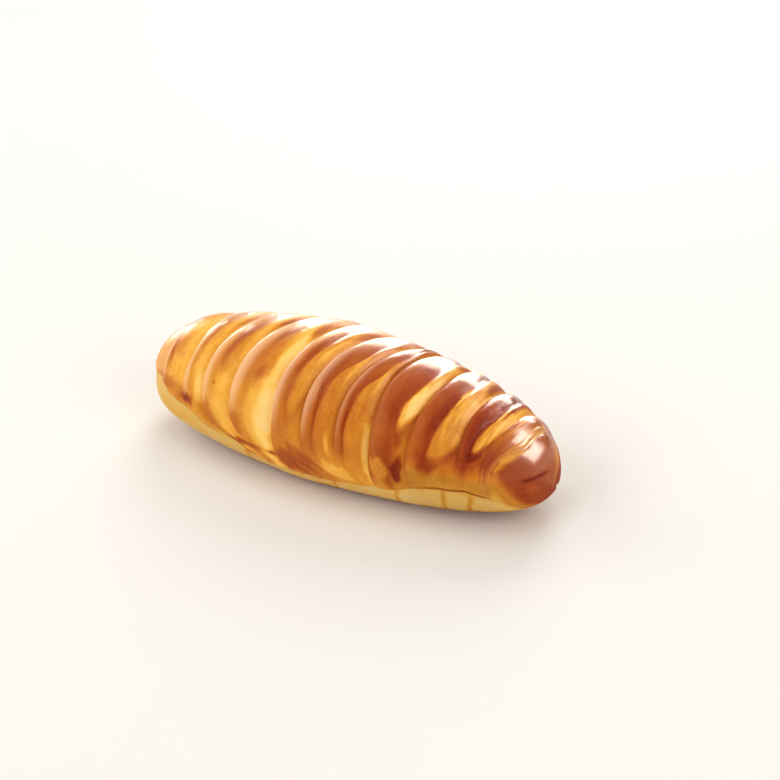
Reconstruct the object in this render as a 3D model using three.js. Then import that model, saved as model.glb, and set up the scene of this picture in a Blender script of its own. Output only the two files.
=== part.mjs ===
// Milk bread: one plump, hand-shaped loaf, wrapped over its top and sides in slanting ribs of dough.
// Millimetres. X runs along the loaf, Y towards its back and Z up. The origin is the middle of the underside.
import * as THREE from 'three';

const { clamp, degToRad, euclideanModulo, lerp, smoothstep } = THREE.MathUtils;

// Overall size
const LENGTH = 300;
const WIDTH = 110;
const HEIGHT = 93;

// Plan: the widest station, and how each end narrows away from it and how blunt its tip is
const WIDEST_X = -13;
const LEFT_END = { taper: 0.40, blunt: 7.5 };
const RIGHT_END = { taper: 0.35, blunt: 5.5 };
const TAPER_POWER = 1.45;
const TIP_POWER = 0.38;

// Cross-section: the belt is the level of greatest width, as a share of the height
const BELT = 0.40;
const UPPER_ROUNDNESS = 2.2;
const LOWER_ROUNDNESS = 2.45;
const HEIGHT_POWER = 0.9;
const TIP_LIFT = 26;
const BASE_SINK = 3;

// How a rib leans to the right on its way over the top: the angle where that starts, and how far round it
// goes. Angles are in degrees: 0 is the top of the loaf, 90 its front, -90 its back and 180 its underside.
const EVEN_RUN = { from: 65, span: 180 };
const LATE_RUN = { from: 25, span: 140 };
const QUICK_RUN = { from: 80, span: 90 };
const SHORT_RUN = { from: 75, span: 80 };
const CAP_RUN = { from: 72, span: 56 };
const BACK_HOLD = -115;
const UNDER_RETURN = -250;

// A rib: a roll of dough with a groove before it, a crease behind it and then a hump.
// at: station of the groove on the front, lean: how far right it runs from the front to the back,
// sweep: how far its front foot trails to the right, groove and crease: depths,
// foot: angle where the rib dies out, hump: angle where the hump ends,
// bands: share of the rib that the roll takes on the top, on the side and low down
function rib(at, lean, sweep, groove, crease, foot, bands, hump, run = EVEN_RUN) {
  return { at, lean, sweep, groove, crease, foot, bands, hump, run };
}

// Ribs from left to right
const RIBS = [
  rib(-130, 8, 6, 3.0, 0.0, 92, [0.30, 0.32, 0.36], 110),
  rib(-104, 13, 20, 3.4, 0.0, 72, [0.46, 0.46, 0.50], 110),
  rib(-88, 37, 36, 4.2, 0.1, 108, [0.58, 0.56, 0.48], 110),
  rib(-63, 46, 30, 4.8, 0.3, 110, [0.52, 0.48, 0.40], 110),
  rib(-27, 35, 10, 5.8, 1.0, 110, [0.58, 0.54, 0.56], 68),
  rib(-3, 38, 20, 5.6, 1.3, 98, [0.72, 0.46, 0.40], 110),
  rib(22, 34, 16, 5.6, 1.4, 98, [0.80, 0.36, 0.28], 110),
  rib(46, 20, 4, 6.2, 2.2, 110, [0.72, 0.60, 0.62], 55, LATE_RUN),
  rib(71, 6, 8, 6.2, 2.4, 96, [0.58, 0.46, 0.40], 73, QUICK_RUN),
  rib(104, 1, 6, 6.0, 2.0, 92, [0.62, 0.48, 0.42], 56, QUICK_RUN),
  rib(119, 8, 0, 3.6, 0.6, 86, [0.70, 0.74, 0.80], 90, SHORT_RUN),
  rib(125, 14, 0, 1.7, 0.0, 76, [0.99, 0.99, 0.99], 90, CAP_RUN),
];

// Where a rib's front foot starts to trail to the right, how far round that takes, and where it comes back
const SWEEP_FROM = 70;
const SWEEP_SPAN = 35;
const SWEEP_BACK = { from: 120, to: 180 };

// Fading of the relief: its share on the top, the angle of its full depth, its last stretch, its end behind
const TOP_SHARE = 0.75;
const DEEPEST_ANGLE = 50;
const FOOT_FADE = 38;
const BACK_FOOT = -100;

// Profile across a rib: the breadth of the roll's left flank, the least and most that it takes of the rib and
// of the roll, its roundness, and the shoulder and fall of the hump
const FLANK = 6.0;
const LEAST_CREST = 0.05;
const MOST_CREST = 0.8;
const LIP_POWER = 1.9;
const SHOULDER = 0.13;
const SHOULDER_SHARE = 0.2;
const HUMP_POWER = 2.2;
const PLAIN_POWER = 1.6;
const END_SMOOTH = 0.3;

// Angles over which the roll's share changes from the top to the side and from there to the foot
const BAND_SIDE = { from: 8, to: 40 };
const BAND_LOW = { from: 42, to: 68 };

// A hump's end: its angle on the back, where its middle lies between the crease and the next groove, how much
// higher its two sides end than its middle, and its last stretch
const BACK_HUMP = 84;
const HUMP_MIDDLE = 0.25;
const HUMP_ROUND = 24;
const HUMP_FADE = 9;

// Mesh: rows of faces up the flank, over the roll, up the shoulder and over the hump, and round each end
const STAGE_ROWS = [3, 2, 1, 3];
const END_ROWS = 8;

// Columns round the loaf, and how they gather on the upper side: share of the columns and the angle reached
const COLUMNS = 52;
const GATHER = [[0, 0], [0.28, 32], [0.56, 72], [0.80, 113], [0.923, 145], [1, 180]];
const STEP = 0.02;

// Half-width of the plan at station x, as a share of the greatest half-width.
function plan(x) {
  const end = x < WIDEST_X ? LEFT_END : RIGHT_END;
  const reach = x < WIDEST_X ? LENGTH / 2 + WIDEST_X : LENGTH / 2 - WIDEST_X;
  const t = Math.min(Math.abs(x - WIDEST_X) / reach, 1);
  return (1 - end.taper * t ** TAPER_POWER) * (1 - t ** end.blunt) ** TIP_POWER;
}

// Point of the loaf without its ribs, at station x and an angle.
function smoothPoint(x, angle) {
  const k = plan(x);
  if (k === 0) return new THREE.Vector3(x, 0, TIP_LIFT);
  const height = HEIGHT * k ** HEIGHT_POWER;
  const belt = TIP_LIFT * (1 - k) + BELT * height;
  const cos = Math.cos(degToRad(angle));
  const sin = Math.sin(degToRad(angle));
  const upper = cos >= 0;
  const power = upper ? UPPER_ROUNDNESS : LOWER_ROUNDNESS;
  const rise = upper ? (1 - BELT) * height : BELT * height + BASE_SINK * k;
  const across = Math.abs(sin) / (WIDTH / 2 * k);
  const along = Math.abs(cos) / rise;
  const radius = (across ** power + along ** power) ** (-1 / power);
  return new THREE.Vector3(x, -radius * sin, belt + radius * cos);
}

// Outward direction of the loaf without its ribs, from two short steps along its skin.
function outward(x, angle) {
  const inner = LENGTH / 2 - STEP;
  const a = clamp(x - STEP, -inner, inner);
  const b = clamp(x + STEP, -inner, inner);
  const along = smoothPoint(b, angle).sub(smoothPoint(a, angle));
  const round = smoothPoint((a + b) / 2, angle + STEP).sub(smoothPoint((a + b) / 2, angle - STEP));
  return round.cross(along).normalize();
}

// Share of a rib's lean at an angle: none on the front, all on the back, none again at the front foot.
function leanShare(run, angle) {
  const turn = euclideanModulo(run.from - angle, 360);
  const hold = run.from - BACK_HOLD;
  const end = run.from - UNDER_RETURN;
  const share = turn < hold ? Math.min(turn / run.span, 1) : 1 - Math.min((turn - hold) / (end - hold), 1);
  return (1 - Math.cos(Math.PI * share)) / 2;
}

// Station of the groove before a rib at an angle.
function lipStation(rib, angle) {
  const swept = clamp((angle - SWEEP_FROM) / SWEEP_SPAN, 0, 1) ** 3;
  const trail = swept * (1 - smoothstep(angle, SWEEP_BACK.from, SWEEP_BACK.to));
  return rib.at + rib.lean * leanShare(rib.run, angle) + rib.sweep * trail;
}

// Stations between which a row lies: the tips stand in where there is no rib before or after it.
function span(row, angle) {
  const from = row.rib ? lipStation(row.rib, angle) : -LENGTH / 2;
  const to = row.next ? lipStation(row.next, angle) : LENGTH / 2;
  return { from, to };
}

// How much of a rib's relief is left at an angle: all on the front, less on the top, none at its feet.
function fade(rib, angle) {
  const front = 1 - smoothstep(angle, rib.foot - FOOT_FADE, rib.foot);
  const back = smoothstep(angle, BACK_FOOT, BACK_FOOT + FOOT_FADE);
  const side = lerp(TOP_SHARE, 1, smoothstep(angle, 0, DEEPEST_ANGLE));
  return side * front * back;
}

// Share of the rib's width where the roll ends at its crease.
function creaseShare(rib, angle) {
  const [top, side, low] = rib.bands;
  const turn = Math.abs(angle);
  const toSide = smoothstep(turn, BAND_SIDE.from, BAND_SIDE.to);
  const toLow = smoothstep(turn, BAND_LOW.from, BAND_LOW.to);
  return top + (side - top) * toSide + (low - side) * toLow;
}

// Share of the rib's width where the flank reaches the roll's crest.
function crestShare(row, angle) {
  const { from, to } = span(row, angle);
  return clamp(FLANK / (to - from), LEAST_CREST, MOST_CREST * creaseShare(row.rib, angle));
}

// How much of a place belongs to the hump: 1 on it, 0 on the roll and below the hump's rounded end.
function humpShare(rib, u, angle) {
  const edge = creaseShare(rib, angle);
  const middle = lerp(edge, 1, HUMP_MIDDLE);
  const across = clamp((u - middle) / (1 - middle), -1, 1);
  const end = (angle < 0 ? BACK_HUMP : rib.hump) - HUMP_ROUND * across ** 2;
  const above = 1 - smoothstep(Math.abs(angle), end - HUMP_FADE, end + HUMP_FADE);
  return above * smoothstep((u - edge) / SHOULDER, 0, 1);
}

// Depth below the loaf without its ribs, at share u of the way from one groove to the next.
function reliefDepth(row, u, angle) {
  const after = row.next ? row.next.groove * fade(row.next, angle) : 0;
  if (!row.rib) return after * clamp((u - END_SMOOTH) / (1 - END_SMOOTH), 0, 1) ** HUMP_POWER;
  const before = row.rib.groove * fade(row.rib, angle);
  const crease = row.rib.crease * fade(row.rib, angle);
  const edge = creaseShare(row.rib, angle);
  if (u < edge) {
    const crest = crestShare(row, angle);
    const climb = (1 - (1 - Math.min(u / crest, 1)) ** LIP_POWER) ** (1 / LIP_POWER);
    return before * (1 - climb) + crease * clamp((u - crest) / (edge - crest), 0, 1) ** 2;
  }
  const fall = (u - edge) / (1 - edge);
  const plain = lerp(crease, after, fall ** PLAIN_POWER);
  const hump = lerp(SHOULDER_SHARE * crease, after, fall ** HUMP_POWER);
  return lerp(plain, hump, humpShare(row.rib, u, angle));
}

// Rows of the mesh from the left tip to the right one: the ribs on both sides, the stage of the profile
// between them and the share of that stage.
function makeRows() {
  const rows = [];
  for (let i = 0; i < END_ROWS; i += 1) {
    rows.push({ next: RIBS[0], share: (i / END_ROWS) ** 2 });
  }
  for (let i = 0; i + 1 < RIBS.length; i += 1) {
    STAGE_ROWS.forEach((count, stage) => {
      for (let k = 0; k < count; k += 1) {
        rows.push({ rib: RIBS[i], next: RIBS[i + 1], stage, share: k / count });
      }
    });
  }
  for (let i = 0; i <= END_ROWS; i += 1) {
    rows.push({ rib: RIBS[RIBS.length - 1], share: 1 - (1 - i / END_ROWS) ** 2 });
  }
  return rows;
}

// Share of the way from one groove to the next at which a row lies, so that rows follow the profile.
function rowShare(row, angle) {
  if (row.stage === undefined) return row.share;
  const edge = creaseShare(row.rib, angle);
  const stops = [0, crestShare(row, angle), edge, Math.min(edge + SHOULDER, (edge + 1) / 2), 1];
  return lerp(stops[row.stage], stops[row.stage + 1], row.share);
}

// Angle of a column, from the underside over the back, the top and the front to the underside.
function columnAngle(column) {
  const side = (2 * column) / COLUMNS - 1;
  const share = Math.abs(side);
  const i = Math.max(GATHER.findIndex(([reached]) => reached >= share), 1);
  const [[lowShare, lowAngle], [highShare, highAngle]] = [GATHER[i - 1], GATHER[i]];
  return Math.sign(side) * lerp(lowAngle, highAngle, (share - lowShare) / (highShare - lowShare));
}

// Point of the ribbed skin on a row at an angle. The underside is flat.
function skinPoint(row, angle) {
  const { from, to } = span(row, angle);
  const u = rowShare(row, angle);
  const x = lerp(from, to, u);
  const point = smoothPoint(x, angle);
  const depth = reliefDepth(row, u, angle);
  if (depth > 0) point.addScaledVector(outward(x, angle), -depth);
  return point.setZ(Math.max(point.z, 0));
}

// The loaf: a sphere whose rows and columns are moved to the ribbed skin.
function makeLoaf() {
  const rows = makeRows();
  const geometry = new THREE.SphereGeometry(1, COLUMNS, rows.length - 1);
  const { position, uv } = geometry.attributes;
  for (let i = 0; i < position.count; i += 1) {
    const row = rows[Math.round(uv.getY(i) * (rows.length - 1))];
    const column = (i % (COLUMNS + 1)) % COLUMNS;
    const point = skinPoint(row, columnAngle(column));
    position.setXYZ(i, point.x, point.y, point.z);
  }
  geometry.computeBoundingBox();
  const middle = geometry.boundingBox.getCenter(new THREE.Vector3());
  geometry.translate(-middle.x, -middle.y, 0);
  geometry.computeVertexNormals();
  return geometry;
}

const crust = new THREE.MeshStandardMaterial({ color: 0xc98238, roughness: 0.42, metalness: 0 });

const loaf = new THREE.Mesh(makeLoaf(), crust);
loaf.name = 'loaf';

const bread = new THREE.Group();
bread.add(loaf);

export default bread;
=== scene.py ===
"""Milk bread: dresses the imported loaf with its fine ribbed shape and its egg-washed crust.

Metres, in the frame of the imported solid: X along the loaf, Y towards its back, Z up.
Angles round the loaf are in degrees: 0 is the top, 90 the front, -90 the back and 180 the underside.
A line is the number of a gap between two ribs' lips plus the share of the way across it: 0 is the left tip,
1 the lip of the first rib, 12 the lip of the last one and 13 the right tip.
"""

from __future__ import annotations

import logging
import math
from dataclasses import dataclass, replace
from enum import Enum

import bpy
import numpy as np
from mathutils import Matrix, Vector

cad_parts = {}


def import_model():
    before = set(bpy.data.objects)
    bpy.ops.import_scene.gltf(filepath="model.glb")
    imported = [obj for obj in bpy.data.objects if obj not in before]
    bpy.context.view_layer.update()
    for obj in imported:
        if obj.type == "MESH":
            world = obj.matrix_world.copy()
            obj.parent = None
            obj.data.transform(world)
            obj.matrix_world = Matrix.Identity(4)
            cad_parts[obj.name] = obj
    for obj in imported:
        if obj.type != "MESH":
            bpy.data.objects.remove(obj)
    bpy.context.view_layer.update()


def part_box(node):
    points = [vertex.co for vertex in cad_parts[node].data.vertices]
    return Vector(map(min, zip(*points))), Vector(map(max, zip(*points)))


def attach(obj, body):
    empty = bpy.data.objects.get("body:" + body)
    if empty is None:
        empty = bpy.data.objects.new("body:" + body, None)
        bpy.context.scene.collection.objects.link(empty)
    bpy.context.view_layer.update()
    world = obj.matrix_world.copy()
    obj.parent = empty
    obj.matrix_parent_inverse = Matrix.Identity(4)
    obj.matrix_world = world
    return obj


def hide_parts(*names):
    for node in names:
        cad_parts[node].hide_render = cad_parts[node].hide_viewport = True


LOG = logging.getLogger("milk_bread")
NODE = "loaf"
BODY = "root"
IMAGE_SIDE = 780
TINY = 1e-6

# Where a smooth rise starts and where it ends, or a place and the number there
Span = tuple[float, float]

# Bands of a rib that is all roll
NO_HUMP = (0.99, 0.99, 0.99)


def smoothstep(
    value: np.ndarray | float, low: np.ndarray | float, high: np.ndarray | float
) -> np.ndarray:
    """Rises smoothly from 0 at low to 1 at high."""
    t = np.clip((np.asarray(value, float) - low) / (high - low), 0.0, 1.0)
    return t * t * (3.0 - 2.0 * t)


def bell(
    value: np.ndarray, middle: np.ndarray | float, width: np.ndarray | float
) -> np.ndarray:
    """A smooth bump of height 1 at middle, about twice width across."""
    return np.exp(-(((value - middle) / width) ** 2))


def along(value: np.ndarray, points: tuple[Span, ...]) -> np.ndarray:
    """Reads straight lines between points, each a place and the number there."""
    places, numbers = zip(*points)
    return np.interp(value, places, numbers)


def linear(red: int, green: int, blue: int) -> tuple[float, float, float, float]:
    """Turns a colour as a screen shows it, 0 to 255, into the renderer's linear colour.

    Args:
        red: Red part.
        green: Green part.
        blue: Blue part.

    Returns:
        Linear red, green and blue, and an alpha of 1.
    """
    shares = [c / 255.0 for c in (red, green, blue)]
    parts = [c / 12.92 if c <= 0.04045 else ((c + 0.055) / 1.055) ** 2.4 for c in shares]
    return (parts[0], parts[1], parts[2], 1.0)


@dataclass(frozen=True)
class Waves:
    """A smooth, uneven pattern over the loaf, from waves in seeded directions.

    Attributes:
        length: How long a wave is along the loaf, in metres or in gaps.
        turn: How many degrees it takes round the loaf.
        seed: Number that fixes the pattern.
        count: How many waves are added up.
        scales: How coarse and how fine they get.
    """

    length: float
    turn: float
    seed: int
    count: int = 12
    scales: Span = (0.6, 1.7)

    def at(self, place: np.ndarray, angle: np.ndarray) -> np.ndarray:
        """Reads the pattern.

        Args:
            place: Places along the loaf, in metres or in gaps.
            angle: Angles round it.

        Returns:
            Numbers mostly from -1 to 1.
        """
        chance = np.random.default_rng(self.seed)
        total = np.zeros_like(angle)
        for _ in range(self.count):
            direction = chance.uniform(0, math.pi)
            scale = chance.uniform(*self.scales)
            phase = chance.uniform(0, 2 * math.pi)
            wave = math.cos(direction) * place / self.length + math.sin(direction) * angle / self.turn
            total = total + np.sin(2 * math.pi * scale * wave + phase)
        return total / math.sqrt(2 * self.count)


# How the outlines of patches wander
PATCH_DOWN = Waves(1 / 3.0, 22.0, 5)
PATCH_ACROSS = Waves(1 / 4.0, 14.0, 6)


class Run(Enum):
    """How a rib runs over the loaf: the angle where it starts to lean, and how far round it leans."""

    EVEN = (65.0, 180.0)
    LATE = (25.0, 140.0)
    QUICK = (80.0, 90.0)
    SHORT = (75.0, 80.0)
    CAP = (72.0, 56.0)


@dataclass(frozen=True)
class Rib:
    """One slanting rib: a browned roll of dough with a golden hump behind it.

    Attributes:
        at: Station of the roll's left foot on the front.
        lean: How far right it runs from the front to the back.
        sweep: How far its front foot trails to the right.
        groove: Depth of the groove before the roll.
        crease: Depth of the crease between the roll and the hump.
        foot: Angle where the rib dies out on the front.
        bands: Share of the rib's width that the roll takes on the top, on the side and at the foot.
        hump_foot: Angle where the hump ends on the front.
        tones: Browning of the roll's lip, of its band and of the hump, each on the top and at the foot.
        run: How it leans.
    """

    at: float
    lean: float
    sweep: float
    groove: float
    crease: float
    foot: float
    bands: tuple[float, float, float]
    hump_foot: float
    tones: tuple[float, float, float, float, float, float]
    run: Run = Run.EVEN


RIBS = (
    Rib(-0.130, 0.008, 0.006, 0.0030, 0.0000, 92, (0.30, 0.32, 0.36), 110,
        (0.44, 0.42, 0.60, 0.42, 0.32, 0.34)),
    Rib(-0.104, 0.013, 0.020, 0.0034, 0.0000, 72, (0.46, 0.46, 0.50), 110,
        (0.42, 0.36, 0.56, 0.38, 0.36, 0.24)),
    Rib(-0.088, 0.037, 0.036, 0.0042, 0.0001, 108, (0.58, 0.56, 0.48), 110,
        (0.42, 0.38, 0.62, 0.42, 0.32, 0.29)),
    Rib(-0.063, 0.046, 0.030, 0.0048, 0.0003, 110, (0.52, 0.48, 0.40), 110,
        (0.44, 0.40, 0.62, 0.46, 0.26, 0.28)),
    Rib(-0.027, 0.035, 0.010, 0.0058, 0.0010, 110, (0.58, 0.54, 0.56), 68,
        (0.56, 0.53, 0.72, 0.58, 0.41, 0.44)),
    Rib(-0.003, 0.038, 0.020, 0.0056, 0.0013, 98, (0.72, 0.46, 0.40), 110,
        (0.62, 0.58, 0.73, 0.65, 0.48, 0.55)),
    Rib(0.022, 0.034, 0.016, 0.0056, 0.0014, 98, (0.80, 0.36, 0.28), 110,
        (0.68, 0.65, 0.75, 0.70, 0.48, 0.53)),
    Rib(0.046, 0.020, 0.004, 0.0062, 0.0022, 110, (0.72, 0.60, 0.62), 55,
        (0.74, 0.70, 0.84, 0.80, 0.32, 0.13), Run.LATE),
    Rib(0.071, 0.006, 0.008, 0.0062, 0.0024, 96, (0.58, 0.46, 0.40), 73,
        (0.76, 0.66, 0.87, 0.82, 0.38, 0.48), Run.QUICK),
    Rib(0.104, 0.001, 0.006, 0.0060, 0.0020, 92, (0.62, 0.48, 0.42), 56,
        (0.80, 0.80, 0.93, 0.90, 0.36, 0.50), Run.QUICK),
    Rib(0.119, 0.008, 0.000, 0.0036, 0.0006, 86, (0.70, 0.74, 0.80), 90,
        (0.64, 0.82, 0.66, 0.84, 0.46, 0.56), Run.SHORT),
    Rib(0.125, 0.014, 0.000, 0.0017, 0.0000, 76, NO_HUMP, 90,
        (0.74, 0.84, 0.74, 0.84, 0.74, 0.84), Run.CAP),
)


@dataclass(frozen=True)
class End:
    """One end of the loaf: how much it narrows, and how blunt its tip is."""

    taper: float
    blunt: float


@dataclass
class Skin:
    """Where each vertex lies on the loaf.

    Attributes:
        gap: Number of the gap between two lips that it lies in; the first starts at the left tip.
        share: Share of the way across that gap, from left to right.
        angle: Angle round the loaf.
        station: Place along the loaf.
    """

    gap: np.ndarray
    share: np.ndarray
    angle: np.ndarray
    station: np.ndarray

    @property
    def line(self) -> np.ndarray:
        """Number of the gap plus the share across it."""
        return self.gap + self.share

    @property
    def steep(self) -> np.ndarray:
        """Angle down from the top, the same on the front and on the back."""
        return np.abs(self.angle)

    def warp(self) -> tuple[np.ndarray, np.ndarray]:
        """Two uneven patterns that make the outlines of patches wander down and across."""
        return PATCH_DOWN.at(self.line, self.angle), PATCH_ACROSS.at(self.line, self.angle)


@dataclass(frozen=True)
class Mark:
    """One soft-edged patch of browning, in the loaf's own coordinates.

    Attributes:
        line: Number of the gap plus the share across it, at the patch's middle.
        angle: Angle of the middle.
        reach: Half its breadth, in gaps.
        drop: Half its height, in degrees.
        tone: Browning at its middle.
        strength: How much it covers, from 0 to 1.
        slant: Gaps that it drifts right for each degree down.
        soft: Share of its radius where it fades.
        dent: How deep the dough is folded in there.
    """

    line: float
    angle: float
    reach: float
    drop: float
    tone: float
    strength: float = 0.8
    slant: float = 0.0
    soft: float = 0.7
    dent: float = 0.0

    def cover(self, skin: Skin, warp: tuple[np.ndarray, np.ndarray]) -> np.ndarray:
        """How much of each vertex lies in the patch.

        Args:
            skin: Where each vertex lies.
            warp: Two uneven patterns that make its outline wander.

        Returns:
            Shares from 0 to 1.
        """
        wander_across = 0.2 * min(self.reach, 0.2)
        wander_down = 0.35 * min(self.drop, 9.0)
        spill = 0.3 * self.soft
        down = skin.angle - self.angle
        across = skin.line - self.line - self.slant * down + wander_across * warp[1]
        down = down + wander_down * warp[0]
        radius = np.hypot(across / self.reach, down / self.drop)
        return 1 - smoothstep(radius, 1 - self.soft, 1.0 + spill)

    def brush(self, browning: np.ndarray, skin: Skin, warp: tuple[np.ndarray, np.ndarray]) -> np.ndarray:
        """Lays the patch over the browning of each vertex."""
        return browning + (self.tone - browning) * self.strength * self.cover(skin, warp)

    def turned(self, shift: float = 0.37, drop: float = 0.9) -> Mark:
        """The same patch a little further along and less far down, on the loaf's back."""
        return replace(self, line=self.line + shift, angle=-drop * self.angle, slant=-self.slant)


MARKS = (
    Mark(1.30, 32, 0.08, 26, 0.74, 0.8, 0.002, 0.9),
    Mark(1.52, 30, 0.26, 18, 0.54, 0.7),
    Mark(1.20, 70, 0.90, 9, 0.62, 0.8, 0.03),
    Mark(2.14, 14, 0.06, 2.5, 0.80, 0.7),
    Mark(2.48, 12, 0.10, 22, 0.62, 0.8),
    Mark(2.22, 79, 0.40, 6, 0.95, 0.95, 0.0, 0.8),
    Mark(2.85, 66, 0.22, 14, 0.10, 0.8),
    Mark(3.56, 20, 0.14, 26, 0.82, 0.8),
    Mark(3.70, 30, 0.22, 24, 0.58, 0.6),
    Mark(3.51, 58, 0.04, 1.5, 0.80, 0.8),
    Mark(3.22, 84, 0.24, 14, 0.62, 0.8),
    Mark(4.48, 6, 0.10, 16, 0.76, 0.8, -0.006),
    Mark(4.52, 32, 0.36, 27, 0.60, 0.75, 0.0, 0.6),
    Mark(4.60, 42, 0.12, 6, 0.72, 0.6),
    Mark(4.89, 18, 0.13, 34, 0.08, 0.8),
    Mark(4.88, 72, 0.24, 32, 0.00, 0.9, -0.002),
    Mark(4.16, 82, 0.20, 10, 0.64, 0.8),
    # Painted highlight: a pale streak high on this rib's hump
    Mark(5.82, 14, 0.07, 18, 0.24, 0.6),
    Mark(5.50, 22, 0.12, 20, 0.80, 0.7),
    Mark(5.55, 48, 0.14, 8, 0.70, 0.6),
    Mark(5.30, 86, 0.50, 9, 0.54, 0.8),
    Mark(5.45, 99, 0.60, 9, 0.80, 0.85, 0.0, 0.6),
    Mark(5.92, 92, 0.34, 7, 0.80, 0.8, 0.03, 0.9),
    Mark(5.62, 102, 0.06, 6, 0.46, 0.7, 0.02),
    # Painted highlight: a pale streak high on this rib's hump
    Mark(6.82, 18, 0.07, 20, 0.24, 0.6),
    Mark(6.30, 22, 0.24, 22, 0.80, 0.7),
    Mark(6.38, 42, 0.09, 10, 0.86, 0.8),
    Mark(6.42, 58, 0.04, 14, 0.80, 0.8, dent=0.0004),
    Mark(6.78, 77, 0.07, 9, 0.20, 0.6),
    Mark(6.74, 98, 0.46, 7, 0.32, 0.95, 0.0, 0.3),
    # Painted highlight: a pale streak high on this rib's hump
    Mark(7.80, 20, 0.07, 22, 0.24, 0.6),
    Mark(7.30, 20, 0.22, 20, 0.80, 0.7),
    Mark(7.28, 48, 0.06, 26, 0.84, 0.8, dent=0.0004),
    Mark(8.03, 86, 0.07, 16, 0.80, 0.85),
    Mark(8.52, 40, 0.14, 14, 0.86, 0.7, 0.004),
    Mark(8.74, 60, 0.12, 8, 0.84, 0.7),
    Mark(8.84, 30, 0.14, 18, 0.02, 0.8),
    Mark(8.30, 87, 0.28, 10, 0.44, 0.9, 0.0, 0.3),
    Mark(8.76, 86, 0.16, 11, 0.93, 0.95, -0.008, 0.4),
    Mark(9.44, 34, 0.11, 24, 0.94, 0.8, -0.004),
    # Painted highlight: a pale streak on the shoulder of the hump
    Mark(9.60, 8, 0.03, 13, 0.00, 0.9),
    Mark(9.45, 74, 0.22, 7, 0.90, 0.8),
    Mark(9.20, 86, 0.40, 8, 0.42, 0.8),
    Mark(10.28, 32, 0.22, 30, 0.96, 0.7),
    # Painted highlight: a pale streak on the shoulder of the hump
    Mark(10.66, 5, 0.035, 13, 0.00, 0.9),
    Mark(10.74, -6, 0.035, 20, 0.90, 0.85, dent=0.0006),
    Mark(10.86, 10, 0.07, 36, 0.24, 0.75),
    Mark(10.68, 45, 0.07, 12, 0.32, 0.6, -0.012),
    Mark(10.62, 57, 0.28, 7, 0.95, 0.9, -0.02, 0.5),
    Mark(11.40, 54, 0.40, 16, 0.88, 0.7),
    Mark(11.92, 9, 0.06, 2.0, 0.90, 0.7),
    Mark(12.02, -6, 0.05, 30, 0.16, 0.9, soft=0.5),
    Mark(12.09, 42, 0.15, 28, 0.36, 0.9, soft=0.6),
    Mark(12.70, -44, 0.40, 22, 0.45, 0.9, soft=0.8),
    Mark(12.66, 92, 0.14, 9, 0.88, 0.6),
    Mark(12.84, 84, 0.12, 16, 0.66, 0.5, soft=0.9),
)

BASE_MARKS = (
    Mark(1.40, 98, 0.80, 10, 0.30, 0.4),
    Mark(2.60, 98, 0.50, 5, 0.42, 0.7, 0.05),
    # Painted shadow: these two dark lines along the seam stand for shade under the crust's edge
    Mark(3.85, 98, 0.85, 2.6, 0.84, 0.85, -0.08),
    Mark(4.86, 98, 0.16, 1.6, 0.90, 0.8),
    Mark(5.45, 107, 0.07, 7, 0.62, 0.7, -0.02),
    Mark(5.80, 108, 0.06, 7, 0.62, 0.7, -0.02),
)

TEAR = Mark(7.90, 80, 0.08, 28, 0.14, 0.9, 0.0, 0.35, 0.0005)


def on_both_sides(marks: tuple[Mark, ...], last: float = 11.6) -> list[Mark]:
    """The patches, and a turned copy of each one left of the last line, where the right end starts."""
    return [*marks, *(mark.turned() for mark in marks if mark.line < last)]


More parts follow.
